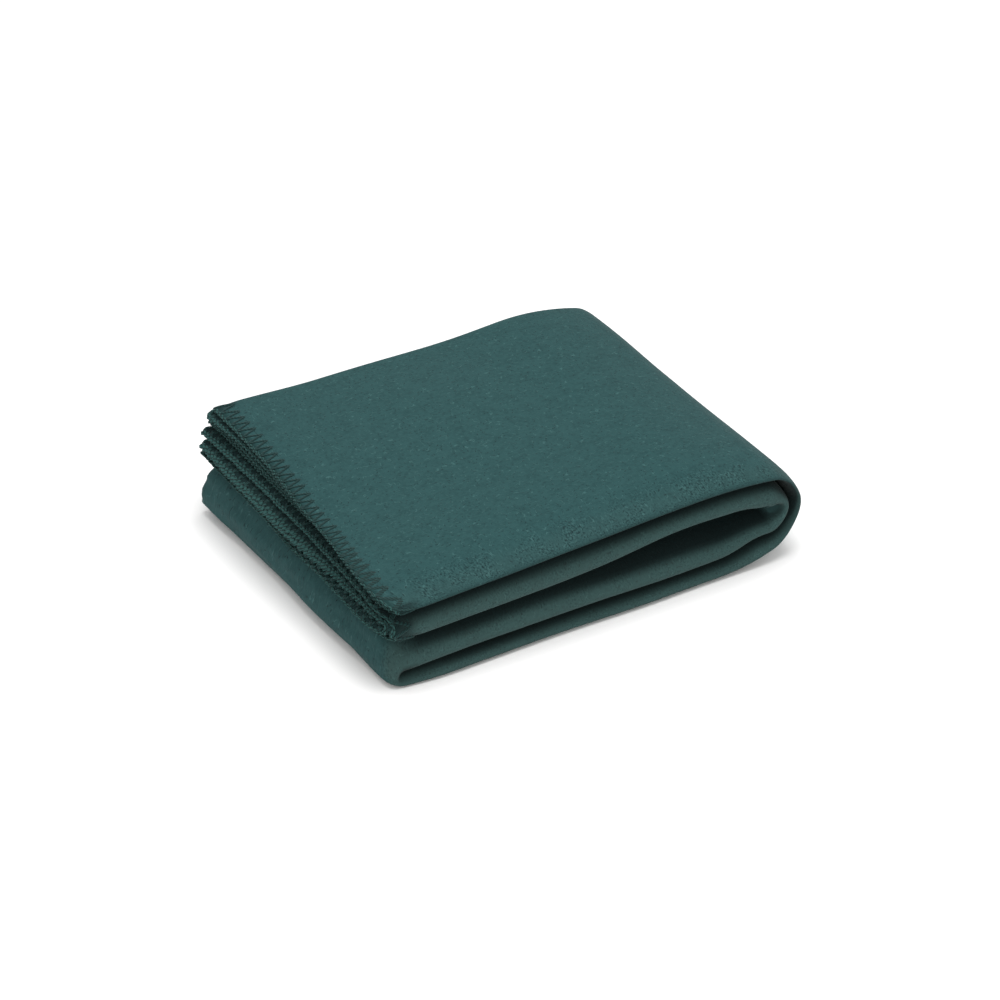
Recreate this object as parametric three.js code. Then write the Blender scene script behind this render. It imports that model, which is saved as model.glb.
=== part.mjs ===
// A folded fleece camp blanket, standing free on a flat surface.
//
// The blanket is one rectangular sheet of cloth. It is folded in four across its width, which
// makes a strip of four sheets, and the strip is folded in four along its length, which makes
// a pack of sixteen sheets. Yarn is overlocked over all four raw edges.
//
// Millimetres. +X runs from the hem end of the pack to its thick fold end, +Y from the rolled
// front edge to the back edge, and +Z is up. The origin is under the middle of the pack, on
// the surface that it lies on.

import * as THREE from 'three';

// The cut sheet
const sheetLength = 1500; // along the strip, from hem to hem
const sheetWidth = 1200; // across the strip, from long edge to long edge
const clothThickness = 3; // brushed fleece as it lies in the pack
const sheetGap = 3.3; // air between one sheet and the next

// How the folds lie over each other
const foldOverhang = 9; // the lower fold stands out past the upper hem at the hem end
const hemStagger = 4; // the lower hem stands out past the upper one
const turnSetback = 3; // the inner turn lies this far inside the outer turn's centre
const backFoldInset = 6; // the back fold ends short of the long edge of sheet four
const longEdgeStagger = 5; // the long edge of sheet three ends short of sheet four's

// How the pack has settled
const outerLayerShare = 0.175; // height of the tight top or bottom layer, of the pack's
const lowerHalfShare = 0.47; // height of the two lower layers together, of the pack's
const frontCornerShare = 0.8; // height at the front beside the hems, of the full height

// The overlock seams
const seamWidth = 11.7; // from the raw edge to the needle line
const looperYarn = 0.8; // thickness of the looper yarns as they lie on the cloth
const needleThread = 0.6;
const seamClearance = 0.4; // between the yarn and the cloth, and between two yarns

// How finely the shape is divided
const stripRunSteps = 4;
const acrossRunSteps = 3;
const outerTurnSteps = 10;
const smallTurnSteps = 7;
const edgeTurnSteps = 6;

// Sizes that follow from those
const pitch = clothThickness + sheetGap;
const halfCloth = clothThickness / 2;
const sheetsInStrip = 4;
const layersInPack = 4;
const stripHeight = sheetsInStrip * pitch;
const fullHeight = layersInPack * stripHeight;
const outerTurnRadius = 1.5 * stripHeight;
const smallTurnRadius = 0.5 * stripHeight;
const frontFoldRadius = 1.5 * pitch;
const sheetFoldRadius = 0.5 * pitch;
const outerSheet = 1.5 * pitch; // level of sheet one above the strip's middle
const faceOfYarn = halfCloth + seamClearance;
const seamBand = seamWidth + needleThread + 2 * seamClearance; // cloth beside a raw edge

// ---- Routes: straight runs and half turns, followed in a plane ----

// A stop on a route: where it is, and which way the route heads there, in radians.
function stop(forward, up, heading) {
  return { forward, up, heading };
}

function addRun(stops, length, steps) {
  const from = stops[stops.length - 1];
  for (let i = 1; i <= steps; i += 1) {
    const distance = (length * i) / steps;
    const forward = from.forward + distance * Math.cos(from.heading);
    const up = from.up + distance * Math.sin(from.heading);
    stops.push(stop(forward, up, from.heading));
  }
}

// A half turn of the given radius. The side is 1 to the left and -1 to the right.
function addHalfTurn(stops, radius, side, steps) {
  const from = stops[stops.length - 1];
  const towardsCentre = from.heading + (side * Math.PI) / 2;
  const centreForward = from.forward + radius * Math.cos(towardsCentre);
  const centreUp = from.up + radius * Math.sin(towardsCentre);
  for (let i = 1; i <= steps; i += 1) {
    const heading = from.heading + (side * Math.PI * i) / steps;
    const outward = heading - (side * Math.PI) / 2;
    const forward = centreForward + radius * Math.cos(outward);
    const up = centreUp + radius * Math.sin(outward);
    stops.push(stop(forward, up, heading));
  }
}

// The strip's middle line, seen from the front: the top layer from its hem, the outer turn
// down to the bottom layer, the fold at the hem end, the third layer, the inner turn, and
// the second layer back to its hem.
const stripTurns = Math.PI * (outerTurnRadius + 2 * smallTurnRadius);
const foldSetback = smallTurnRadius + outerSheet + halfCloth - foldOverhang;
const shortening = 2 * foldSetback + 2 * turnSetback - hemStagger;
const topRun = (sheetLength - stripTurns + shortening) / layersInPack;

function stripStops() {
  const stops = [stop(0, 3.5 * stripHeight, 0)];
  addRun(stops, seamBand, 1);
  addRun(stops, topRun - seamBand, stripRunSteps);
  addHalfTurn(stops, outerTurnRadius, -1, outerTurnSteps);
  addRun(stops, topRun - foldSetback, stripRunSteps);
  addHalfTurn(stops, smallTurnRadius, -1, smallTurnSteps);
  addRun(stops, topRun - foldSetback - turnSetback, stripRunSteps);
  addHalfTurn(stops, smallTurnRadius, 1, smallTurnSteps);
  addRun(stops, topRun - turnSetback + hemStagger - seamBand, stripRunSteps);
  addRun(stops, seamBand, 1);
  return stops;
}

// The sheet's middle line across the strip: sheet four forward from its long edge, the outer
// front fold up to sheet one, the back fold down to sheet two, the inner front fold down to
// sheet three, and sheet three to its long edge. Up is away from the middle of the strip.
const edgeTurns = Math.PI * (frontFoldRadius + 2 * sheetFoldRadius);
const inset = 2 * backFoldInset + longEdgeStagger;
const sheetRun = (sheetWidth - edgeTurns + inset) / sheetsInStrip;

function acrossStops(side) {
  const stops = [stop(sheetRun, -side * outerSheet, Math.PI)];
  addRun(stops, seamBand, 1);
  addRun(stops, sheetRun - seamBand, acrossRunSteps);
  addHalfTurn(stops, frontFoldRadius, -side, edgeTurnSteps);
  addRun(stops, sheetRun - backFoldInset, acrossRunSteps);
  addHalfTurn(stops, sheetFoldRadius, -side, edgeTurnSteps);
  addRun(stops, sheetRun - backFoldInset, acrossRunSteps);
  addHalfTurn(stops, sheetFoldRadius, side, edgeTurnSteps);
  addRun(stops, sheetRun - longEdgeStagger - seamBand, acrossRunSteps);
  addRun(stops, seamBand, 1);
  return stops;
}

// A route that a section can be swept along, with its steps at the stops. The section's first
// coordinate is to the left of the route, and its second along the plane's own normal.
class FoldedRoute extends THREE.Curve {
  constructor(stops, place, turnToSpace) {
    super();
    this.points = stops.map((s) => place(s));
    this.tangents = stops.map((s) => turnToSpace(Math.cos(s.heading), Math.sin(s.heading)));
    this.normals = stops.map((s) => turnToSpace(-Math.sin(s.heading), Math.cos(s.heading)));
    this.binormals = this.tangents.map((along, i) => along.clone().cross(this.normals[i]));
    this.steps = stops.length - 1;
  }

  getPoint(t, target = new THREE.Vector3()) {
    return target.copy(this.points[Math.round(t * this.steps)]);
  }

  // The stops are as close as the shape needs, so they aren't spread evenly along it.
  getUtoTmapping(u) {
    return u;
  }

  computeFrenetFrames() {
    return { tangents: this.tangents, normals: this.normals, binormals: this.binormals };
  }
}

// ---- Sections ----

// The outline between two lines that run beside a route, on its left where they are positive.
function ribbonPoints(stops, near, far) {
  const beside = (s, offset) => {
    const left = s.heading + Math.PI / 2;
    return [s.forward + offset * Math.cos(left), s.up + offset * Math.sin(left)];
  };
  const there = stops.map((s) => beside(s, far));
  const back = stops.map((s) => beside(s, near)).reverse();
  return [...there, ...back];
}

// A looper yarn covers one face of the cloth from the needle line to the raw edge, and half of
// the raw edge itself. Inward is away from the raw edge, and the side is 1 on the outer face.
function looperPoints(side) {
  const outside = -seamClearance - looperYarn;
  return [
    [seamWidth, side * faceOfYarn],
    [seamWidth, side * (faceOfYarn + looperYarn)],
    [outside, side * (faceOfYarn + looperYarn)],
    [outside, (side * seamClearance) / 2],
    [-seamClearance, (side * seamClearance) / 2],
    [-seamClearance, side * faceOfYarn],
  ];
}

function needlePoints() {
  const inner = seamWidth + seamClearance;
  return [
    [inner, faceOfYarn],
    [inner + needleThread, faceOfYarn],
    [inner + needleThread, faceOfYarn + needleThread],
    [inner, faceOfYarn + needleThread],
  ];
}

// ---- Settling ----

// The sheets are swept evenly spaced, and their points are then moved to where the pack has
// settled. Nothing can cross in this, because it moves space itself.

// The outer wrap is pulled tight and the two inner layers are loose, on either side of the
// middle of the outer turn and all the way round it.
function settledReach(reach) {
  const looseness = (0.5 - outerLayerShare) * layersInPack;
  const tightness = outerLayerShare * layersInPack;
  const inner = Math.min(reach, stripHeight);
  return looseness * inner + tightness * (reach - inner);
}

function settledHeight(aboveMiddle) {
  const middle = lowerHalfShare * fullHeight;
  const halfShare = aboveMiddle > 0 ? 1 - lowerHalfShare : lowerHalfShare;
  return middle + aboveMiddle * 2 * halfShare;
}

// The front is pressed lower than the back, most of all beside the hems.
const packLength = topRun + outerTurnRadius;

function heightShare(x, y) {
  const towardsHem = 1 - THREE.MathUtils.clamp(x / packLength, 0, 1) ** 3;
  const towardsFront = THREE.MathUtils.clamp(1 - y / sheetRun, 0, 1) ** 1.5;
  return 1 - (1 - frontCornerShare) * towardsHem * towardsFront;
}

const floorHeight = settledHeight(-settledReach(0.5 * (fullHeight - sheetGap)));

function settlePoint(point) {
  const beyondMiddle = Math.max(point.x - topRun, 0);
  const aboveMiddle = point.z - 0.5 * fullHeight;
  const reach = Math.hypot(beyondMiddle, aboveMiddle);
  const stretch = reach > 0 ? settledReach(reach) / reach : 1;
  point.x += beyondMiddle * (stretch - 1);
  point.z = settledHeight(aboveMiddle * stretch) - floorHeight;
  point.z *= heightShare(point.x, point.y);
}

function settle(geometry) {
  const position = geometry.getAttribute('position');
  const point = new THREE.Vector3();
  for (let i = 0; i < position.count; i += 1) {
    point.fromBufferAttribute(position, i);
    settlePoint(point);
    position.setXYZ(i, point.x, point.y, point.z);
  }
  geometry.computeVertexNormals();
  return geometry;
}

// ---- Sweeps ----

function sweep(shapePoints, route) {
  const shape = new THREE.Shape(shapePoints);
  const options = { extrudePath: route, steps: route.steps, bevelEnabled: false };
  return settle(new THREE.ExtrudeGeometry(shape, options));
}

// Sweeps an outline along a route in the plane of the strip. The outline's points are
// [across, level]: across is world Y, and level is away from the middle of the strip.
function sweepAlongStrip(outline, stops) {
  const place = (s) => new THREE.Vector3(s.forward, 0, s.up);
  const turnToSpace = (forward, up) => new THREE.Vector3(forward, 0, up);
  const points = outline.map(([across, level]) => new THREE.Vector2(level, -across));
  return sweep(points, new FoldedRoute(stops, place, turnToSpace));
}

// Sweeps an outline along the raw edge at a hem. The outline's points are [inward, off].
function sweepAlongHem(outline, stops, x, z) {
  const place = (s) => new THREE.Vector3(x, s.forward, z + s.up);
  const turnToSpace = (forward, up) => new THREE.Vector3(0, forward, up);
  const points = outline.map(([inward, off]) => new THREE.Vector2(off, inward));
  return sweep(points, new FoldedRoute(stops, place, turnToSpace));
}

// ---- Pieces ----

const fleece = new THREE.MeshStandardMaterial({ color: 0x3c5c5d, roughness: 0.95, metalness: 0 });
const yarn = new THREE.MeshStandardMaterial({ color: 0x1f3f3f, roughness: 0.85, metalness: 0 });

const pack = new THREE.Group();

function addPiece(name, geometry, material) {
  const mesh = new THREE.Mesh(geometry, material);
  mesh.name = name;
  pack.add(mesh);
}

function addSheet() {
  const outline = ribbonPoints(acrossStops(1), -halfCloth, halfCloth);
  addPiece('fleece_sheet', sweepAlongStrip(outline, stripStops()), fleece);
}

// The seam over the raw edge at one end of the strip. The side is -1 where the strip lies
// upside down.
function addHemSeam(name, x, z, side) {
  const stops = acrossStops(side);
  const seam = (points) => sweepAlongHem(points, stops, x, z);
  addPiece(`${name}_face_looper_yarn`, seam(looperPoints(side)), yarn);
  addPiece(`${name}_back_looper_yarn`, seam(looperPoints(-side)), yarn);
  const needle = needlePoints().map(([inward, off]) => [inward, side * off]);
  addPiece(`${name}_needle_thread`, seam(needle), yarn);
}

// The seam over a long edge, between the two hem seams. The edge lies at the given place
// across the strip and level in it, and the side is -1 where the face side is down.
function addLongEdgeSeam(name, across, level, side) {
  const stops = stripStops().slice(1, -1);
  const seam = (points) => {
    const placed = points.map(([inward, off]) => [across - inward, level + side * off]);
    return sweepAlongStrip(placed, stops);
  };
  addPiece(`${name}_face_looper_yarn`, seam(looperPoints(1)), yarn);
  addPiece(`${name}_back_looper_yarn`, seam(looperPoints(-1)), yarn);
  addPiece(`${name}_needle_thread`, seam(needlePoints()), yarn);
}

addSheet();
addHemSeam('upper_hem', 0, 3.5 * stripHeight, 1);
addHemSeam('lower_hem', -hemStagger, 2.5 * stripHeight, -1);
addLongEdgeSeam('outer_long_edge', sheetRun, -outerSheet, -1);
addLongEdgeSeam('inner_long_edge', sheetRun - longEdgeStagger, -sheetFoldRadius, 1);

// The origin goes under the middle of the pack.
const box = new THREE.Box3().setFromObject(pack);
pack.position.set(-(box.min.x + box.max.x) / 2, -(box.min.y + box.max.y) / 2, 0);

export default pack;
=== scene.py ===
import math
import random

import bpy
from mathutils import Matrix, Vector, noise


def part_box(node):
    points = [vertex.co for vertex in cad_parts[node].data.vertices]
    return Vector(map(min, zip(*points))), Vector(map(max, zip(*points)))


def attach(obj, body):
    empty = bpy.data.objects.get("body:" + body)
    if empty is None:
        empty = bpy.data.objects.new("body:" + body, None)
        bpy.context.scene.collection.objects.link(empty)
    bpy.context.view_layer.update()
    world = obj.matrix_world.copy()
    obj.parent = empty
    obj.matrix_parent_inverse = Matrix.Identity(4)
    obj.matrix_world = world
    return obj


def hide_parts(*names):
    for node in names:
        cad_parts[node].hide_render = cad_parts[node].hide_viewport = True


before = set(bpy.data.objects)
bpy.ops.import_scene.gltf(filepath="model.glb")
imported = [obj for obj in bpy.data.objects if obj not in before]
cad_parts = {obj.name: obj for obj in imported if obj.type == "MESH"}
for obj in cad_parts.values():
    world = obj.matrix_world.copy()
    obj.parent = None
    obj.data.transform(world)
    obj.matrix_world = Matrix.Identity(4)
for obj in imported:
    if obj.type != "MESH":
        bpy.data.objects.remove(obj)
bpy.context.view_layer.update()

clothLow = Vector(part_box("fleece_sheet")[0])
print("frame loaded")

camera = {
    "azimuth": -31.3,  # degrees round from straight in front
    "elevation": 32.7,
    "distance": 3.34,
    "aim": (0.0255, 0.043, 0.0),
    "lens": 144.0,
    "sensor": 36.0,
    "clipEnd": 20.0,
}


def addCamera():
    turned = math.radians(camera["azimuth"])
    raised = math.radians(camera["elevation"])
    level = math.cos(raised)
    away = Vector((math.sin(turned) * level, -math.cos(turned) * level, math.sin(raised)))
    data = bpy.data.cameras.new("camera")
    data.lens = camera["lens"]
    data.sensor_width = camera["sensor"]
    data.clip_end = camera["clipEnd"]
    body = bpy.data.objects.new("camera", data)
    body.location = Vector(camera["aim"]) + away * camera["distance"]
    body.rotation_euler = away.to_track_quat("Z", "Y").to_euler()
    bpy.context.scene.collection.objects.link(body)
    bpy.context.scene.camera = body


addCamera()
print("camera placed")

# The blanket is one sheet, folded in four across its width into a strip, and the strip
# folded in four along its length. Every point of cloth or yarn is placed by where it lies
# on the flat sheet, so the yarn follows the cloth round every fold.
blanket = {
    "length": 1.5,  # cut size, hem to hem
    "width": 1.2,  # long edge to long edge
    "cloth": 0.003,  # thickness in the pack
    "gap": 0.0033,  # air between sheets
    "foldOverhang": 0.009,  # lower fold past the upper hem
    "hemStagger": 0.004,
    "turnSetback": 0.003,
    "backFoldInset": 0.006,
    "longEdgeStagger": 0.005,
    "foldOut": 0.0006,  # the lower fold stands this much further out than the CAD sheet's
}
pitch = blanket["cloth"] + blanket["gap"]
stripHeight = 4 * pitch
fullHeight = 4 * stripHeight
halfCloth = blanket["cloth"] / 2


# a leg of a route is (kind, length, radius, side), side 1 turns left and -1 right
def turnLeg(radius, side):
    return ("turn", math.pi * radius, radius, side)


def runLeg(length):
    return ("run", length, 0.0, 0)


class Route:
    # straight runs and half turns, one after another, in a plane
    def __init__(self, start, heading, legs):
        self.pieces = []
        at, here = Vector(start), heading
        begin = 0.0
        for kind, length, radius, side in legs:
            self.pieces.append((begin, length, kind, radius, side, at.copy(), here))
            at, here = self.follow(self.pieces[-1], length)
            begin += length
        self.length = begin

    @staticmethod
    def follow(piece, distance):
        begin, length, kind, radius, side, at, heading = piece
        if kind == "run":
            return at + distance * Vector((math.cos(heading), math.sin(heading))), heading
        now = heading + side * distance / radius
        towards = heading + side * math.pi / 2
        centre = at + radius * Vector((math.cos(towards), math.sin(towards)))
        outward = now - side * math.pi / 2
        return centre + radius * Vector((math.cos(outward), math.sin(outward))), now

    def at(self, distance):
        for piece in self.pieces:
            if distance <= piece[0] + piece[1] or piece is self.pieces[-1]:
                return self.follow(piece, distance - piece[0])

    # distances along the route, and close together where the raw edge is rounded
    def stations(self, steps, edge):
        found = [0.0] + edge
        for piece, count in zip(self.pieces, steps):
            found += [piece[0] + piece[1] * (i + 1) / count for i in range(count)]
        return found[:-1] + [self.length - d for d in reversed(edge)] + [self.length]


def stripRoute():
    small, outer = 0.5 * stripHeight, 1.5 * stripHeight
    turns = math.pi * (outer + 2 * small)
    setback = small + 1.5 * pitch + halfCloth - blanket["foldOverhang"]
    spare = 2 * setback + 2 * blanket["turnSetback"] - blanket["hemStagger"]
    top = (blanket["length"] - turns + spare) / 4
    legs = [
        runLeg(top),
        turnLeg(outer, -1),
        runLeg(top - setback),
        turnLeg(small, -1),
        runLeg(top - setback - blanket["turnSetback"]),
        turnLeg(small, 1),
        runLeg(top - blanket["turnSetback"] + blanket["hemStagger"]),
    ]
    return Route((0.0, 3.5 * stripHeight), 0.0, legs), top


def acrossRoute():
    front, small = 1.5 * pitch, 0.5 * pitch
    turns = math.pi * (front + 2 * small)
    spare = 2 * blanket["backFoldInset"] + blanket["longEdgeStagger"]
    run = (blanket["width"] - turns + spare) / 4
    legs = [
        runLeg(run),
        turnLeg(front, -1),
        runLeg(run - blanket["backFoldInset"]),
        turnLeg(small, -1),
        runLeg(run - blanket["backFoldInset"]),
        turnLeg(small, 1),
        runLeg(run - blanket["longEdgeStagger"]),
    ]
    return Route((run, -1.5 * pitch), math.pi, legs), run


strip, topRun = stripRoute()
across, sheetRun = acrossRoute()
print("fold worked out, top run %.4f m, sheet run %.4f m" % (topRun, sheetRun))

# How the pack has settled. The layers are A to D from the top down. A reach runs along the
# pack and a depth runs back from its front, in metres. A share is of the height.
settling = {
    "frontCorner": 0.8,  # height at the front by the hems, of the full height
    "cornerFade": (1.2, 1.5),  # how sharply that dip ends along the pack and into it
    "frontShare": 0.6,  # how much of the depth settles like the front
    "lowerHalf": (0.49, 0.52),  # layers C and D, of the height, at the back and the front
    "topLayer": (0.196, 0.14),  # layer A, of the height
    "bottomLayer": 0.17,
    "crown": 0.004,  # the top stands a little proud in the middle
    "waver": 0.0011,  # slow unevenness of the cloth
    "waverWaves": (11, 55),  # per metre, level and upright
    "waverInward": 1.5,  # times as much from front to back
    "floorFade": 0.02,  # less than this high, the cloth can't rise
}

thickEnd = {
    "squash": 0.6,  # blunter than a half round
    "taper": (0.4, 0.5),  # the layers close up towards the nose, below and above it
    "taperReach": (0.085, 0.11),
    "noseHeight": 0.55,
    "pocket": 0.014,  # the inner turn ends in a pocket
    "pocketDepth": 0.1,
    "openGap": 0.015,  # and stands open beside it
    "gapFrom": (0.4, 0.45),  # where the gap starts and how slowly, of the top run
    "gapEnd": (0.014, 0.02),  # and the same past the start of the turn
    "gapDepth": 0.12,
    "gapHeight": (0.35, 1.5),  # of the sheet's pitch and of the strip's
}

lowerFold = {
    "squash": (0.95, 0.55),  # pressed flatter at the front than at the back
    "squashReach": 0.09,
    "sag": (0.1, 0.35),
    "sagReach": 0.05,
    "depth": 0.1,
    "top": (0.56, 0.12),  # the share where the fold ends, and how slowly
}

rolledFront = {
    "droop": 0.0095,  # how far each rolled edge hangs forward over the one below
    "droopCurl": 0.6,
    "droopDepth": 0.12,
    "slim": 0.22,  # the rolled edges are slimmer than the strip behind them
    "slimDepth": 0.03,
    "slimAtFold": 0.35,  # how much of that is left round the lower fold
    "slimReach": (0.02, 0.06),  # where it comes back past the fold, and how slowly
}

hemEnd = {
    "reach": 0.11,  # how far the unevenness of the hems runs into the pack
    "edgeWaver": 0.0022,  # each sheet's own unevenness
    "edgeWaves": (14, 170),  # per metre, along the hems and upright
    "cornerRound": 0.009,  # the hems draw in at the front
    "cornerStart": -0.011,
    "cornerDepth": 0.035,
    "foldCorner": 0.1,  # how much of that the lower fold does
    "foldTop": (0.35, 0.2),  # the share where the lower fold ends, and how slowly
    "backFlare": 0.006,  # the back spreads beside the hems
    "flareFrom": 0.6,  # of the depth
    "flareReach": 0.1,
}

# where the edges at the hem end stand: height share, then x at the front, middle and back
hemEdges = [
    (0.0, 0.0048, 0.003, 0.001),
    (0.41, 0.0035, 0.002, 0.001),
    (0.49, 0.004, 0.003, 0.008),
    (0.57, 0.001, -0.001, -0.002),
    (0.65, -0.0065, -0.0065, -0.005),
    (0.72, 0.0, 0.005, 0.0),
    (0.8, 0.001, 0.008, 0.006),
    (0.9, -0.003, 0.006, 0.0),
    (0.96, -0.006, 0.002, 0.007),
    (1.0, -0.0076, -0.0015, 0.0115),
    (1.3, -0.0076, -0.0015, 0.0115),
]

# local rises and creases: where, how wide, and how far the cloth is moved
rumples = [
    {"at": (0.150, -0.150, 0.022), "size": (0.020, 0.070, 0.012), "move": (0, 0, 0.005)},
    {"at": (0.118, -0.150, 0.046), "size": (0.020, 0.050, 0.010), "move": (0, 0, -0.0035)},
    {"at": (0.080, -0.150, 0.050), "size": (0.045, 0.060, 0.012), "move": (0, 0, 0.004)},
    {"at": (0.135, 0.150, 0.095), "size": (0.110, 0.080, 0.040), "move": (0, 0, 0.005)},
    {"at": (0.050, 0.150, 0.095), "size": (0.070, 0.080, 0.040), "move": (0, 0, -0.0025)},
    {"at": (0.160, -0.150, 0.056), "size": (0.018, 0.050, 0.010), "move": (0, 0, -0.006)},
    {"at": (-0.195, -0.155, 0.005), "size": (0.035, 0.030, 0.030), "move": (0, 0.005, 0)},
]


def clamp(value, low=0.0, high=1.0):
    return max(low, min(high, value))


def smooth(value):
    value = clamp(value)
    return value * value * (3 - 2 * value)


def mix(first, second, share):
    return first + (second - first) * share


packLength = topRun + 0.5 * fullHeight
turnReach = 0.5 * (fullHeight - blanket["gap"])
noseLength = thickEnd["squash"] * turnReach
turnStart = topRun + turnReach - noseLength
foldExtreme = -blanket["foldOverhang"]
foldRadius = 0.5 * (2 * stripHeight - blanket["gap"])
foldCentre = foldExtreme + foldRadius
underGap = 0.5 * blanket["gap"] * settling["bottomLayer"] * 4

# the lower fold and the front go where the CAD sheet has them
foldedLow = Vector((foldExtreme + blanket["foldOut"], -1.5 * pitch - halfCloth, 0.0))
shift = clothLow - foldedLow


def heightShare(x, y):
    alongFade, inwardFade = settling["cornerFade"]
    towardsHem = 1 - clamp(x / packLength) ** alongFade
    towardsFront = clamp(1 - y / sheetRun) ** inwardFade
    return 1 - (1 - settling["frontCorner"]) * towardsHem * towardsFront


def shareOfHeight(x, y, z):
    return z / (fullHeight * heightShare(x, y))


# how far from the middle of the turn, with a pocket left in it
def settledReach(reach, outerLayer, pocket):
    inner = min(reach, stripHeight)
    loose = (0.5 - outerLayer) * 4
    inside = loose * inner + pocket * (1 - inner / stripHeight)
    return inside + outerLayer * 4 * (reach - inner)


# tight outside and loose inside, all the way round the turn
def settleTurn(x, y, above, topLayer):
    beyond = max(x - topRun, 0.0)
    reach = math.hypot(beyond, above)
    steep = above / reach if reach > 0 else 0.0
    outerLayer = mix(settling["bottomLayer"], topLayer, 0.5 + 0.5 * steep)
    pocket = 0.0
    if beyond > 0:
        front = smooth(1 - y / thickEnd["pocketDepth"])
        pocket = thickEnd["pocket"] * front * (1 - steep * steep)
    stretch = settledReach(reach, outerLayer, pocket) / reach if reach > 0 else 1.0
    if beyond > 0:
        return turnStart + thickEnd["squash"] * beyond * stretch, above * stretch
    return x * (turnStart / topRun), above * stretch


# the gap inside the inner turn
def openInnerTurn(x, y, above):
    (start, rise), (end, fall) = thickEnd["gapFrom"], thickEnd["gapEnd"]
    nearNose = smooth((x - start * topRun) / (rise * topRun)) * smooth((turnStart + end - x) / fall)
    opening = 0.5 * thickEnd["openGap"] * nearNose * smooth(1 - y / thickEnd["gapDepth"])
    low, high = thickEnd["gapHeight"]
    inside = clamp(1 - abs(above) / (high * stripHeight))
    return above + math.copysign(opening, above) * inside * smooth(abs(above) / (low * pitch))


# the layers close up towards the nose
def closeNose(x, z):
    rise = z - thickEnd["noseHeight"] * fullHeight
    taper, reach = (thickEnd[key][rise > 0] for key in ("taper", "taperReach"))
    closing = clamp((x - packLength + reach) / reach)
    return z - rise * taper * closing**2


# the fold under the hems is pressed flat and hangs
def pressLowerFold(x, y, z):
    share = shareOfHeight(x, y, z)
    top, fade = lowerFold["top"]
    low = smooth((top - share) / fade)
    pressed = smooth(1 - y / lowerFold["depth"])
    flatter = (1 - mix(*lowerFold["squash"], pressed)) * foldRadius
    if x < foldCentre:
        x -= flatter * clamp((x - foldExtreme) / foldRadius) * low
    else:
        x -= flatter * smooth(1 - (x - foldCentre) / lowerFold["squashReach"]) * low
    hanging = smooth(1 - (x - foldExtreme) / lowerFold["sagReach"])
    sag = mix(*lowerFold["sag"], pressed) * hanging
    return x, z * (1 - sag * clamp(1 - share / 0.5))


def settlePack(x, y, z):
    frontness = smooth(1 - y / (settling["frontShare"] * sheetRun))
    lowerHalf = mix(*settling["lowerHalf"], frontness)
    topLayer = mix(*settling["topLayer"], frontness)
    x, above = settleTurn(x, y, z - 0.5 * fullHeight, topLayer)
    above = openInnerTurn(x, y, above)
    share = 1 - lowerHalf if above > 0 else lowerHalf
    z = lowerHalf * fullHeight + above * 2 * share - underGap
    return pressLowerFold(x, y, closeNose(x, z * heightShare(x, y)))


# how much slimmer the rolled edge is
def slimAt(alongStrip):
    begin, length = strip.pieces[3][:2]
    start, reach = rolledFront["slimReach"]
    past = smooth((abs(alongStrip - begin - 0.5 * length) - start) / reach)
    return rolledFront["slim"] * mix(rolledFront["slimAtFold"], 1.0, past)


# rolled edges hang forward over the ones below
def droopAt(y, up):
    near = smooth(1 - y / rolledFront["droopDepth"])
    return rolledFront["droop"] * near * (up + rolledFront["droopCurl"] * up * up)


def flareAt(x, y):
    start = hemEnd["flareFrom"]
    back = smooth((y / sheetRun - start) / (1 - start))
    return hemEnd["backFlare"] * back * smooth(1 - x / hemEnd["flareReach"])


# a smooth curve through values at the front, the middle and the back
def alongDepth(front, middle, back, y):
    share = clamp(y / sheetRun)
    return mix(mix(front, middle, 2 * share), mix(middle, back, 2 * share - 1), share)


def hemOffset(share, y):
    for below, over in zip(hemEdges, hemEdges[1:]):
        if share <= over[0]:
            part = smooth((share - below[0]) / (over[0] - below[0]))
            return mix(alongDepth(*below[1:], y), alongDepth(*over[1:], y), part)
    return 0.0


# the edges at the hem end stand unevenly, and draw in at the front corner
def unevenHems(x, y, z):
    share = shareOfHeight(x, y, z)
    near = smooth(1 - (x - foldExtreme) / hemEnd["reach"])
    along, upright = hemEnd["edgeWaves"]
    own = noise.noise(Vector((3.7, y * along, z * upright)))
    x += near * (hemOffset(share, y) + hemEnd["edgeWaver"] * own)
    start, fade = hemEnd["foldTop"]
    rounding = mix(hemEnd["foldCorner"], 1.0, smooth((share - start) / fade))
    rounding *= clamp(1 - (y - hemEnd["cornerStart"]) / hemEnd["cornerDepth"]) ** 2
    return x + near * hemEnd["cornerRound"] * rounding


def waverAt(x, y, z, seed):
    level, upright = settling["waverWaves"]
    return noise.noise(Vector((x * level + seed, y * level - seed, z * upright + 3 * seed)))


def rumpled(point, lift):
    for rumple in rumples:
        away = [(p - c) / s for p, c, s in zip(point, rumple["at"], rumple["size"])]
        near = math.exp(-sum(a * a for a in away))
        along, back, upward = rumple["move"]
        point += Vector((along, back, upward * lift)) * near
    return point


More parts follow.
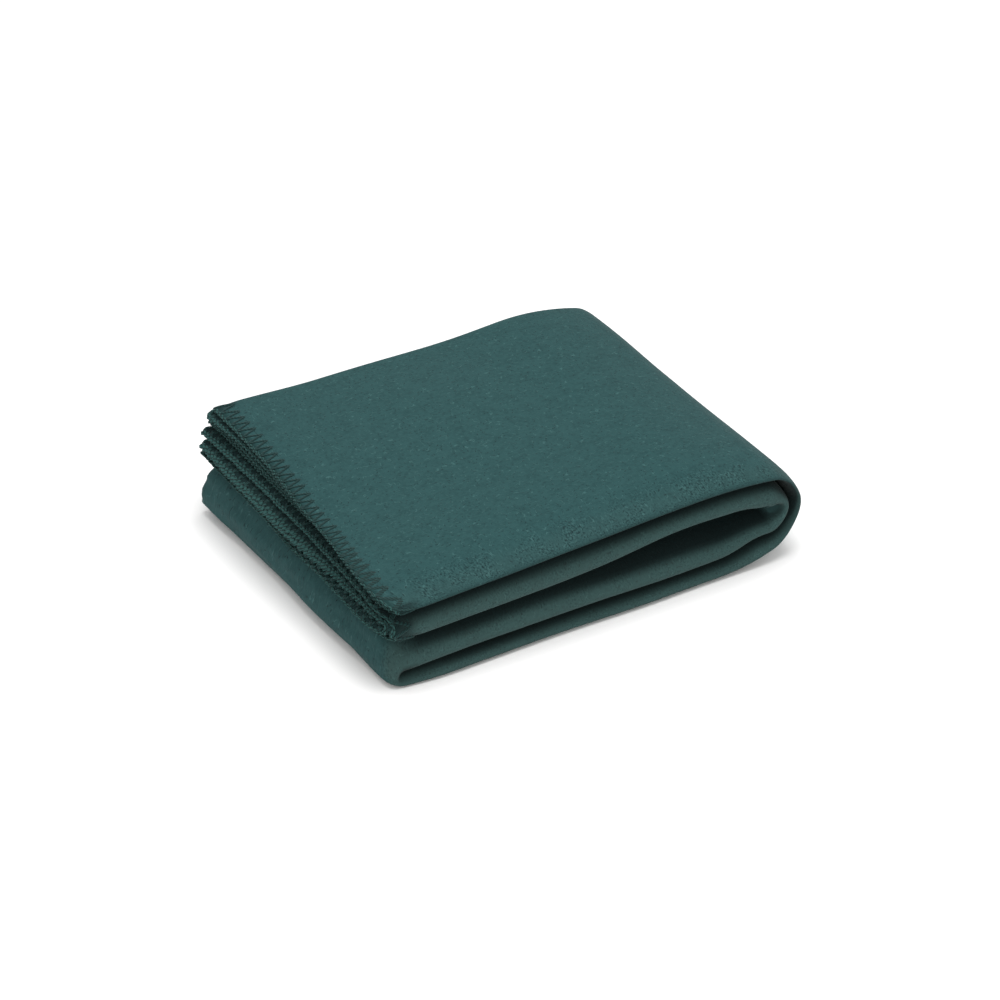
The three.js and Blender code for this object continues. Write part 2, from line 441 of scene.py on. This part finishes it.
# where a point of the flat sheet lies in the pack, when it is off the middle of the cloth
def place(alongStrip, acrossStrip, off):
    # the sheet across the strip
    (y, level), turned = across.at(acrossStrip)
    y -= off * math.sin(turned)
    level += off * math.cos(turned)
    level *= 1 - slimAt(alongStrip) * smooth(0.5 - y / rolledFront["slimDepth"])

    # the strip along the pack
    (x, z), heading = strip.at(alongStrip)
    upright = math.cos(heading)
    x -= level * math.sin(heading)
    z += level * upright

    y += droopAt(y, upright * level / (2 * pitch))
    x, z = settlePack(x, y, z)
    y += flareAt(x, y)
    x = unevenHems(x, y, z)

    # unevenness, none of it upward where the cloth lies on the floor
    lift = smooth(z / settling["floorFade"])
    x += settling["waver"] * waverAt(x, y, z, 1.0)
    y += settling["waver"] * waverAt(x, y, z, 7.0) * settling["waverInward"]
    z += settling["waver"] * waverAt(x, y, z, 13.0) * lift
    middle = math.sin(math.pi * clamp(x / packLength)) * math.sin(math.pi * clamp(y / sheetRun))
    z += settling["crown"] * middle * smooth(z / fullHeight)
    return rumpled(Vector((x, y, max(z, 0.0))) + shift, lift)


def addMesh(name, points, faces, material):
    mesh = bpy.data.meshes.new(name)
    mesh.from_pydata(points, [], faces)
    mesh.polygons.foreach_set("use_smooth", [True] * len(mesh.polygons))
    mesh.materials.append(material)
    mesh.update()
    piece = bpy.data.objects.new(name, mesh)
    bpy.context.scene.collection.objects.link(piece)
    return piece


# vectors kept with the mesh's points or corners, for its material to read
def addVectors(piece, name, domain, vectors):
    layer = piece.data.attributes.new(name, "FLOAT_VECTOR", domain)
    layer.data.foreach_set("vector", [number for vector in vectors for number in vector])


class Nodes:
    # a material's node tree, with short ways to add to it
    def __init__(self, name):
        self.material = bpy.data.materials.new(name)
        self.material.use_nodes = True
        self.tree = self.material.node_tree
        self.shader = self.tree.nodes["Principled BSDF"]

    def add(self, kind, settings=None, **inputs):
        node = self.tree.nodes.new("ShaderNode" + kind)
        for key, value in (settings or {}).items():
            setattr(node, key, value)
        for key, value in inputs.items():
            numbered = key[0] == "i" and key[1:].isdigit()  # i2 is the third input
            self.give(node.inputs[int(key[1:]) if numbered else key], value)
        return node

    def give(self, socket, value):
        if isinstance(value, bpy.types.NodeSocket):
            self.tree.links.new(value, socket)
        else:
            socket.default_value = value

    def math(self, operation, first, second=0.0, third=0.0):
        node = self.add("Math", {"operation": operation}, i0=first, i1=second, i2=third)
        return node.outputs[0]

    def blend(self, share, first, second):
        node = self.add("Mix", {"data_type": "RGBA"}, i0=share, i6=first, i7=second)
        return node.outputs[2]

    def noise(self, vector, scale, detail=2.0, rough=0.5):
        node = self.add("TexNoise", Vector=vector, Scale=scale, Detail=detail, Roughness=rough)
        return node.outputs["Fac"]

    # one short stroke of fibre in each cell, each at its own angle
    def strokes(self, vector, scale, length, width, bend):
        cells = self.add("TexVoronoi", {"voronoi_dimensions": "2D"}, Vector=vector, Scale=scale)
        times = {"operation": "SCALE"}
        scaled = self.add("VectorMath", times, i0=vector, Scale=scale).outputs[0]
        centre = self.add("VectorMath", times, i0=cells.outputs["Position"], Scale=scale).outputs[0]
        local = self.add("VectorMath", {"operation": "SUBTRACT"}, i0=scaled, i1=centre).outputs[0]
        chance = self.add("SeparateColor", Color=cells.outputs["Color"])
        angle = self.math("MULTIPLY", chance.outputs[0], 2 * math.pi)
        aboutZ = {"rotation_type": "Z_AXIS"}
        turned = self.add("VectorRotate", aboutZ, Vector=local, Angle=angle)
        parts = self.add("SeparateXYZ", i0=turned.outputs[0])
        squared = self.math("POWER", parts.outputs[0], 2.0)
        bent = self.math("MULTIPLY_ADD", squared, bend, parts.outputs[1])
        ends = self.math("DIVIDE", self.math("ABSOLUTE", parts.outputs[0]), length)
        sides = self.math("DIVIDE", self.math("ABSOLUTE", bent), width)
        stroke = self.range(self.math("MAXIMUM", ends, sides), 1.0, 0.5)
        return self.math("MULTIPLY", stroke, self.range(chance.outputs[1], 0.5, 1.0))

    # thin curling fibres: the level lines of a noise, kept only in places
    def curls(self, vector, scale, placesScale):
        field = self.noise(vector, scale, 1.0)
        line = self.range(self.math("ABSOLUTE", self.math("SUBTRACT", field, 0.5)), 0.02, 0.006)
        kept = self.range(self.noise(vector, placesScale, 1.0), 0.52, 0.62)
        return self.math("MULTIPLY", line, kept)

    # 0 at one value of the input, rising smoothly to 1 at another
    def range(self, value, start, end, low=0.0, high=1.0):
        settings = {"interpolation_type": "SMOOTHSTEP"}
        node = self.add("MapRange", settings, i0=value, i1=start, i2=end, i3=low, i4=high)
        return node.outputs[0]


fleeceLook = {
    "colour": (0.0185, 0.0610, 0.0625, 1),
    "shade": (0.0125, 0.0450, 0.0470, 1),  # deeper patches of the nap
    "light": (0.0480, 0.1250, 0.1230, 1),  # fibre tips that catch the light
    "dark": (0.0030, 0.0140, 0.0160, 1),  # gaps between fibres
    "edge": (0.0050, 0.0250, 0.0240, 1),  # the raw edge under the yarn: its own darker tone, and painted shade from the yarn over it
    "paintedSheen": (0.0430, 0.0670, 0.0600, 1),  # painted sheen: greyer and a little lighter where the sheet is rolled over at the front
    "hollowShade": (0.0020, 0.0075, 0.0080, 1),  # painted shade, near black, in the hollows between the rolled edges and between the hems
    # how strongly each covers the colour
    "shares": {"darkStroke": 0.85, "lightStroke": 0.5, "paintedSheen": 0.45, "edge": 0.7, "hollowShade": 0.92},
    "patches": 70.0,  # sizes, as noise scales
    "mottle": 260.0,
    "grain": 800.0,
    "strokes": (310.0, 0.38, 0.12, 0.8),  # scale, length, width and bend
    "curls": (150.0, 210.0),
    "pilling": (55.0, 750.0),  # where it pills, and the pills
    "pills": 0.4,  # how strongly the pills show, and the pits between them
    "pits": 0.85,
    "sheen": 0.05,
    "sheenRoughness": 0.45,
    "sheenTint": (0.85, 0.93, 0.9, 1),
    "specular": 0.15,
    "nap": 0.0009,  # depth of the brushed pile
    "napStrength": 0.55,
}


def fleeceMaterial():
    look, shares = fleeceLook, fleeceLook["shares"]
    make = Nodes("brushed fleece")
    flat, rubAndShade, rolled = (
        make.add("Attribute", {"attribute_name": name}).outputs["Vector"]
        for name in ("flat", "rubAndShade", "rolled")
    )
    rubbed, edge, hollowShade = make.add("SeparateXYZ", i0=rubAndShade).outputs
    paintedSheen = make.add("SeparateXYZ", i0=rolled).outputs[0]
    patches = make.noise(flat, look["patches"], 3.0, 0.6)
    mottle = make.noise(flat, look["mottle"], 4.0, 0.6)
    grain = make.noise(flat, look["grain"], 3.0, 0.7)
    patchy = make.math("MULTIPLY_ADD", mottle, 0.6, make.math("MULTIPLY", patches, 0.4))
    colour = make.blend(make.range(patchy, 0.3, 0.6), look["shade"], look["colour"])

    def cover(share, over):
        return make.blend(share, colour, look[over])

    # fibres brushed every way
    shifted = make.add("Mapping", Vector=flat, Location=(0.37, 0.71, 0)).outputs[0]
    darkStroke = make.strokes(flat, *look["strokes"])
    lightStroke = make.curls(shifted, *look["curls"])
    colour = cover(make.math("MULTIPLY", darkStroke, shares["darkStroke"]), "dark")
    colour = cover(make.math("MULTIPLY", lightStroke, shares["lightStroke"]), "light")

    # painted sheen, greyer where the sheet is rolled over, and pilling beside it
    colour = cover(make.math("MULTIPLY", paintedSheen, shares["paintedSheen"]), "paintedSheen")
    placesScale, pillScale = look["pilling"]
    places = make.range(make.noise(flat, placesScale), 0.4, 0.58, 0.25)
    rubbed = make.math("MULTIPLY", rubbed, places)
    speckle = make.noise(flat, pillScale, 2.0, 0.6)
    pills = make.math("MULTIPLY", rubbed, look["pills"])
    pills = make.math("MULTIPLY", make.range(speckle, 0.55, 0.64), pills)
    pits = make.math("MULTIPLY", rubbed, look["pits"])
    pits = make.math("MULTIPLY", make.range(speckle, 0.46, 0.38), pits)
    colour = cover(pills, "light")
    colour = cover(pits, "dark")
    # the raw edge's darker tone, and painted shade under the yarn
    colour = cover(make.math("MULTIPLY", edge, shares["edge"]), "edge")
    # painted shade in the hollows between the rolled edges and between the hems
    colour = cover(make.math("MULTIPLY", hollowShade, shares["hollowShade"]), "hollowShade")
    shader = make.shader.inputs
    make.give(shader["Base Color"], colour)

    height = make.math("MULTIPLY_ADD", grain, 0.6, make.math("MULTIPLY", mottle, 0.8))
    height = make.math("MULTIPLY_ADD", lightStroke, 0.3, height)
    height = make.math("MULTIPLY_ADD", darkStroke, -0.3, height)
    bump = make.add("Bump", Height=height, Strength=look["napStrength"], Distance=look["nap"])
    make.give(shader["Normal"], bump.outputs[0])
    make.give(shader["Roughness"], make.range(grain, 0.3, 0.7, 0.88, 1.0))
    shader["Specular IOR Level"].default_value = look["specular"]
    shader["Sheen Weight"].default_value = look["sheen"]
    shader["Sheen Roughness"].default_value = look["sheenRoughness"]
    shader["Sheen Tint"].default_value = look["sheenTint"]
    return make.material


yarnLook = {
    "colour": (0.0060, 0.0320, 0.0310, 1),
    "plyShade": (0.0020, 0.0120, 0.0120, 1),  # painted shade between the plies
    "purl": (0.0170, 0.0640, 0.0600, 1),  # painted light on the twist along the raw edge, lighter where the side light catches it
    "plies": 2,
    "fibres": 400,  # stretches the fibre noise along the yarn
    "relief": 0.0004,
    "specular": 0.25,
    "sheen": 0.08,
    "sheenRoughness": 0.4,
    "sheenTint": (0.55, 0.9, 0.88, 1),
}


# yarnRun is (along the yarn, round it with the twist, 1 for the purl)
def yarnMaterial(name, lighter):
    make = Nodes(name)
    run = make.add("Attribute", {"attribute_name": "yarnRun"}).outputs["Vector"]
    parts = make.add("SeparateXYZ", i0=run)
    twist = make.math("MULTIPLY", parts.outputs[1], float(yarnLook["plies"]))
    wave = make.math("MULTIPLY_ADD", make.math("COSINE", twist), 0.5, 0.5)
    fibres = make.noise(run, 3.0, 4.0, 0.7)
    ply = make.math("MULTIPLY_ADD", fibres, 0.5, make.math("MULTIPLY", wave, 0.6))
    colour = tuple(channel * lighter for channel in yarnLook["colour"][:3]) + (1,)
    # painted light: the purl is lighter than the rest of the yarn
    colour = make.blend(parts.outputs[2], colour, yarnLook["purl"])
    # painted shade in the grooves between the plies
    colour = make.blend(make.range(ply, 0.2, 0.7), yarnLook["plyShade"], colour)
    shader = make.shader.inputs
    make.give(shader["Base Color"], colour)
    bump = make.add("Bump", Height=ply, Strength=0.6, Distance=yarnLook["relief"])
    make.give(shader["Normal"], bump.outputs[0])
    make.give(shader["Roughness"], make.range(fibres, 0.3, 0.7, 0.7, 0.95))
    shader["Specular IOR Level"].default_value = yarnLook["specular"]
    shader["Sheen Weight"].default_value = yarnLook["sheen"]
    shader["Sheen Tint"].default_value = yarnLook["sheenTint"]
    shader["Sheen Roughness"].default_value = yarnLook["sheenRoughness"]
    return make.material


fleece = fleeceMaterial()
looperYarn = yarnMaterial("looper yarn", 1.0)
needleThread = yarnMaterial("needle thread", 1.5)
print("materials made")

sheetMesh = {
    "alongSteps": [64, 30, 62, 22, 60, 22, 64],
    "acrossSteps": [22, 16, 40, 8, 20, 8, 20],
    "loft": 0.0025,  # half the cloth's thickness with its nap
    "sewnLoft": 0.0019,  # and where the seam holds it down
    "loftRise": (0.010, 0.012),  # how far from the edge it rises again, and how slowly
    "edgeRound": 0.0014,  # the raw edge is rounded over this far in
    "edgeStations": (0.06, 0.3, 1.0),  # of that rounding
    "edgeThin": 0.3,  # of the loft, at the very edge
}

# what the fleece's material reads at each point of the sheet: the pilling, and the painted sheen
# and shade
wearSheenAndShade = {
    "rollOff": 0.68,  # how far round the front turn the top rubs most
    "rubWidth": 0.022,
    "lowerRub": 0.5,  # how much of that the lower layers have
    "rolledSpan": (1.4, 0.4),  # of the front turn's length, from its middle
    "rolledTop": 0.3,  # how much of the painted grey sheen the top layer's turn keeps
    "topReach": 0.05,
    # the raw edge's darker tone and the painted shade under the yarn run this far in
    "rawEdge": 0.0025,
    "hollowRise": (0.15, 0.5),  # how high up a rolled edge the painted shade reaches, and how slowly
    "hollowDepth": 0.07,
    "hollowFold": (-0.004, 0.022),  # where the painted shade changes side past the lower fold
    "outerFront": 0.4,  # painted shade on the thick end's outer layer, at its front
    "outerRise": (0.4, 0.8),
    "outerReach": 0.05,
    "shadeBetweenHems": 0.7,  # how dark the painted shade on the faces between the hems is
    "hemReach": (0.018, 0.005),
    "topHem": (0.1, 0.01),  # but not the top face, this far in and this far round the front
}


def fromEdge(u, v):
    return min(u, strip.length - u, v, across.length - v)


def loftAt(u, v):
    inward = clamp(fromEdge(u, v) / sheetMesh["edgeRound"])
    start, rise = sheetMesh["loftRise"]
    risen = smooth((fromEdge(u, v) - start) / rise)
    loft = mix(sheetMesh["sewnLoft"], sheetMesh["loft"], risen)
    return loft * max(sheetMesh["edgeThin"], math.sqrt(1 - (1 - inward) ** 2))


# how much a place on the sheet is rubbed, most where the top rolls over the front
def rubAt(u, v):
    begin, length = across.pieces[1][:2]
    near = smooth(1 - abs(v - begin - wearSheenAndShade["rollOff"] * length) / wearSheenAndShade["rubWidth"])
    return near * (1.0 if u < strip.pieces[1][0] else wearSheenAndShade["lowerRub"])


# how much painted sheen it has, by how far it is rolled over
def rolledAt(u, v):
    begin, length = across.pieces[1][:2]
    full, span = wearSheenAndShade["rolledSpan"]
    onTop = 1 - smooth((u - strip.pieces[1][0]) / wearSheenAndShade["topReach"])
    near = smooth(full - abs(v - begin - 0.5 * length) / (span * length))
    return near * mix(1.0, wearSheenAndShade["rolledTop"], onTop)


# the raw edge's darker tone with painted shade under the yarn, near the edge
def edgeShadeAt(u, v):
    return clamp(1 - (fromEdge(u, v) - sheetMesh["edgeRound"]) / wearSheenAndShade["rawEdge"])


# painted shade: how far it lies in the hollows between the rolled edges, or between the hems
def hollowShadeAt(u, v, off):
    (y, level), turned = across.at(v)
    level = (level + off * math.cos(turned)) / (2 * pitch)
    third, innerTurn = strip.pieces[4], strip.pieces[5]
    start, fade = wearSheenAndShade["hollowFold"]
    outside = 1 - smooth((u - third[0] - start) / fade)
    outside = max(outside, clamp((u - innerTurn[0]) / innerTurn[1]))
    start, rise = wearSheenAndShade["hollowRise"]
    sides = ((-level, outside), (level, 1 - outside))
    deep = max(smooth((up - start) / rise) * share for up, share in sides)

    start, rise = wearSheenAndShade["outerRise"]
    outer = smooth((strip.pieces[2][0] - u) / wearSheenAndShade["outerReach"])
    outer *= wearSheenAndShade["outerFront"] * smooth((start - level) / rise)
    front = max(deep, outer) * smooth(1 - y / wearSheenAndShade["hollowDepth"])

    inward, forward = wearSheenAndShade["topHem"]
    if u < inward and off > 0 and across.pieces[2][0] - forward < v < across.pieces[3][0]:
        return front
    start, rise = wearSheenAndShade["hemReach"]
    nearHem = smooth((start - min(u, strip.length - u)) / rise)
    return max(front, wearSheenAndShade["shadeBetweenHems"] * nearHem)


def foldedSheet():
    edge = [share * sheetMesh["edgeRound"] for share in sheetMesh["edgeStations"]]
    alongs = strip.stations(sheetMesh["alongSteps"], edge)
    acrosses = across.stations(sheetMesh["acrossSteps"], edge)
    rows = [(v, 1) for v in acrosses] + [(v, -1) for v in reversed(acrosses)]
    points, flats, rubs, rolls = [], [], [], []
    for u in alongs:
        for v, side in rows:
            off = side * loftAt(u, v)
            points.append(place(u, v, off))
            flats.append((u, v + (side > 0) * 2.0, 0.0))  # each face has its own fibres
            # the pilling, then the painted shade at the raw edge and in the hollows
            rubs.append((rubAt(u, v), edgeShadeAt(u, v), hollowShadeAt(u, v, off)))
            rolls.append((rolledAt(u, v), 0.0, 0.0))
    count = len(rows)
    faces = []
    for i in range(len(alongs) - 1):
        for j in range(count):
            k = (j + 1) % count
            faces.append((i * count + j, i * count + k, (i + 1) * count + k, (i + 1) * count + j))
    last = (len(alongs) - 1) * count
    for j in range(count // 2 - 1):
        faces.append((j, count - 1 - j, count - 2 - j, j + 1))
        faces.append((last + j, last + j + 1, last + count - 2 - j, last + count - 1 - j))
    piece = addMesh("folded_fleece", points, faces, fleece)
    addVectors(piece, "flat", "POINT", flats)
    addVectors(piece, "rubAndShade", "POINT", rubs)
    addVectors(piece, "rolled", "POINT", rolls)
    return piece


sheet = foldedSheet()
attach(sheet, "root")
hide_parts("fleece_sheet")
print("sheet folded, %d faces" % len(sheet.data.polygons))

# The overlock seams. A point of yarn is (along the edge, in from the edge, off the cloth).
seam = {
    "width": 0.0117,  # raw edge to needle line
    "stitch": 0.0097,
    "yarn": 0.0010,  # radius of the looper yarns
    "lift": 0.35,  # how far they lie off the cloth and out from its edge, in radii
    "outside": 0.5,
    "foot": (0.04, 0.08),  # where they round the edge, of the stitch
    "footLift": (0.2, 0.8),
    "thread": 0.00026,  # radius of the needle thread
    "needleInset": 0.0011,  # the needle line, this much nearer the edge than the tips
    "wander": 0.0010,  # how uneven the stitches are
    "tipWander": 0.12,  # of the stitch
    "lean": 0.4,  # of the wander
    "tip": 0.0004,  # half as wide as the yarn turns at the needle line
    "crossing": (0.08, 0.33, 0.66, 0.92),  # points on the way in
    "purl": 0.0009,  # the loopers twist round each other along the raw edge
    "purlTurns": 1,  # in each stitch
    "purlSteps": 8,  # points in each turn
    "purlWander": (0.5, 0.3),  # in width, and in steps
    "purlOut": 0.9,  # out from the edge, in radii of the yarn
    "needleSteps": 5,  # points in each stitch of the needle thread
    "needleLift": 0.2,  # in radii of the thread
    "flatness": 0.75,  # the yarn is pressed between the sheets
    "plyTurn": 0.0052,  # one turn of the plies
    "sides": 7,
    "band": 0.0131,  # cloth beside a raw edge that the hem's seam takes up
}


def flatToSheet(edge, run, inward):
    places = {
        "upper_hem": (inward, run),
        "lower_hem": (strip.length - inward, run),
        "outer_long_edge": (run, inward),
        "inner_long_edge": (run, across.length - inward),
    }
    return places[edge]


# a yarn crosses from the raw edge to the needle line and back, once in each stitch
def looperPoints(length, side, rng):
    above = sheetMesh["sewnLoft"] + seam["lift"] * seam["yarn"]
    outside = -seam["outside"] * seam["yarn"]
    (near, far), (low, high) = seam["foot"], seam["footLift"]
    count = round(length / seam["stitch"])
    stitch = length / count
    points = []
    for index in range(count):
        begin = index * stitch
        deep = seam["width"] + rng.uniform(-1, 1) * seam["wander"]
        tip = begin + stitch * (0.5 + seam["tipWander"] * rng.uniform(-1, 1))
        lean = rng.uniform(-1, 1) * seam["lean"] * seam["wander"]
        points.append((begin, outside, side * low * above))
        points.append((begin + near * stitch, 0.5 * outside, side * high * above))
        out, back = begin + far * stitch, begin + (1 - far) * stitch
        for share in seam["crossing"]:
            run = mix(out, tip - seam["tip"], share) + math.sin(math.pi * share) * lean
            points.append((run, deep * share, side * above))
        points.append((tip + lean, deep + seam["tip"], side * above))
        for share in reversed(seam["crossing"]):
            run = mix(back, tip + seam["tip"], share) + math.sin(math.pi * share) * lean
            points.append((run, deep * share, side * above))
        points.append((begin + (1 - near) * stitch, 0.5 * outside, side * high * above))
    points.append((length, outside, side * seam["tip"]))
    return points


# where the loopers twist round each other, just outside the raw edge
def purlPoints(length, side, rng):
    steps = seam["purlSteps"]
    widthWander, runWander = seam["purlWander"]
    count = round(length / seam["stitch"]) * seam["purlTurns"]
    points = []
    for index in range(count * steps + 1):
        angle = 2 * math.pi * index / steps + (side < 0) * math.pi
        wide = seam["purl"] * (1 + widthWander * rng.uniform(-1, 1))
        run = (index + runWander * rng.uniform(-1, 1)) * length / (count * steps)
        inward = wide * math.cos(angle) - seam["purlOut"] * seam["yarn"]
        points.append((clamp(run, 0.0, length), inward, wide * math.sin(angle)))
    return points


# the needle thread runs along the tips, half sunk where it goes down through the cloth
def needlePoints(length, side, rng):
    steps = seam["needleSteps"]
    count = round(length / seam["stitch"])
    stitch = length / count
    points = []
    for index in range(count * steps + 1):
        sunk = math.cos(2 * math.pi * index / steps)
        off = sheetMesh["sewnLoft"] + seam["thread"] * (seam["needleLift"] - sunk)
        points.append((index * stitch / steps, seam["width"] - seam["needleInset"], side * off))
    return points


# a ring of points round each point of a path, square to it
def yarnRings(points, radius):
    middles = [Vector(point) for point in points]
    ahead = Vector((0, 0, 1))
    gone = 0.0
    for index, middle in enumerate(middles):
        before, after = middles[max(index - 1, 0)], middles[min(index + 1, len(middles) - 1)]
        tangent = (after - before).normalized()
        ahead = (ahead - tangent * ahead.dot(tangent)).normalized()
        aside = tangent.cross(ahead)
        gone += (middle - before).length if index else 0.0
        ring = []
        for step in range(seam["sides"]):
            angle = 2 * math.pi * step / seam["sides"]
            around = middle + radius * (math.cos(angle) * ahead + math.sin(angle) * aside)
            around.z = mix(middle.z, around.z, seam["flatness"])
            ring.append(around)
        yield gone, ring


# one piece of yarn along an edge, made of tubes along its paths, the second path the purl
def addYarn(name, edge, paths, start, radius, material):
    sides = seam["sides"]
    points, faces, marks = [], [], []
    for which, path in enumerate(paths):
        base = len(points)
        runs = []
        for gone, ring in yarnRings(path, radius):
            runs.append(gone * yarnLook["fibres"])
            for around in ring:
                u, v = flatToSheet(edge, start + around.x, around.y)
                points.append(place(u, v, around.z))
            if len(runs) == 1:
                before = gone
                continue
            turns = [2 * math.pi * length / seam["plyTurn"] for length in (before, gone)]
            before = gone
            first = base + (len(runs) - 2) * sides
            second = first + sides
            for step in range(sides):
                near, far = step, (step + 1) % sides
                faces.append((first + near, second + near, second + far, first + far))
                angles = [2 * math.pi * (step + i) / sides for i in (0, 1)]
                marks.append((runs[-2], angles[0] + turns[0], which))
                marks.append((runs[-1], angles[0] + turns[1], which))
                marks.append((runs[-1], angles[1] + turns[1], which))
                marks.append((runs[-2], angles[1] + turns[0], which))
        for ring, order in ((0, 1), (len(runs) - 1, -1)):
            faces.append(tuple(base + ring * sides + step for step in range(sides))[::order])
            marks += [(runs[ring], 0.0, which)] * sides
    piece = addMesh(name, points, faces, material)
    addVectors(piece, "yarnRun", "CORNER", marks)
    return piece


def addSeam(edge, length, start, seed):
    rng = random.Random(seed)
    made = []
    loopers = ((looperPoints, purlPoints), seam["yarn"], looperYarn, "seam_yarn")
    needle = ((needlePoints,), seam["thread"], needleThread, "needle_thread")
    kinds = [
        ("face_looper_yarn", 1, *loopers),
        ("back_looper_yarn", -1, *loopers),
        ("needle_thread", 1, *needle),
    ]
    for kind, side, routes, radius, material, slot in kinds:
        paths = [route(length, side, rng) for route in routes]
        piece = addYarn("stitched_%s_%s" % (edge, kind), edge, paths, start, radius, material)
        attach(piece, "root")
        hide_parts("%s_%s" % (edge, kind))
        made.append(piece)
    return made


# the hems run edge to edge, and the long seams run between them
longSeam = strip.length - 2 * seam["band"]
yarns = addSeam("upper_hem", across.length, 0.0, 11)
yarns += addSeam("lower_hem", across.length, 0.0, 23)
yarns += addSeam("outer_long_edge", longSeam, seam["band"], 37)
yarns += addSeam("inner_long_edge", longSeam, seam["band"], 41)
print("seams sewn, %d pieces of yarn" % len(yarns))

studio = {
    "floor": {"size": 4.0, "colour": (0.9, 0.9, 0.9, 1), "roughness": 0.9},
    "air": {"colour": (1, 1, 1, 1), "strength": 0.82},
    "overhead": {
        "spot": (0.05, -0.15, 1.9),
        "aim": (0, 0, 0),
        "size": 1.2,
        "power": 27.5,
        "colour": (1, 1, 1),
    },
    "side": {  # fills in the hems and the rolled edges
        "spot": (-1.0, -1.7, 0.8),
        "aim": (0, 0, 0.05),
        "size": 1.3,
        "power": 10.0,
        "colour": (1.0, 0.9, 0.84),
    },
}


def addFloor():
    look = studio["floor"]
    size = look["size"]
    corners = [(-size, -size, 0), (size, -size, 0), (size, size, 0), (-size, size, 0)]
    make = Nodes("pale floor")
    make.shader.inputs["Base Color"].default_value = look["colour"]
    make.shader.inputs["Roughness"].default_value = look["roughness"]
    floor = addMesh("floor", corners, [(0, 1, 2, 3)], make.material)


def addLight(name):
    look = studio[name]
    data = bpy.data.lights.new(name, "AREA")
    data.color = look["colour"]
    data.energy = look["power"]
    data.size = look["size"]
    light = bpy.data.objects.new(name, data)
    light.location = look["spot"]
    towards = Vector(look["spot"]) - Vector(look["aim"])
    light.rotation_euler = towards.to_track_quat("Z", "Y").to_euler()
    bpy.context.scene.collection.objects.link(light)


def addAir():
    world = bpy.data.worlds.new("studio")
    world.use_nodes = True
    background = world.node_tree.nodes["Background"].inputs
    background["Color"].default_value = studio["air"]["colour"]
    background["Strength"].default_value = studio["air"]["strength"]
    bpy.context.scene.world = world


addFloor()
addLight("overhead")
addLight("side")
addAir()
bpy.context.scene.view_settings.view_transform = "Standard"
print("floor and light set")
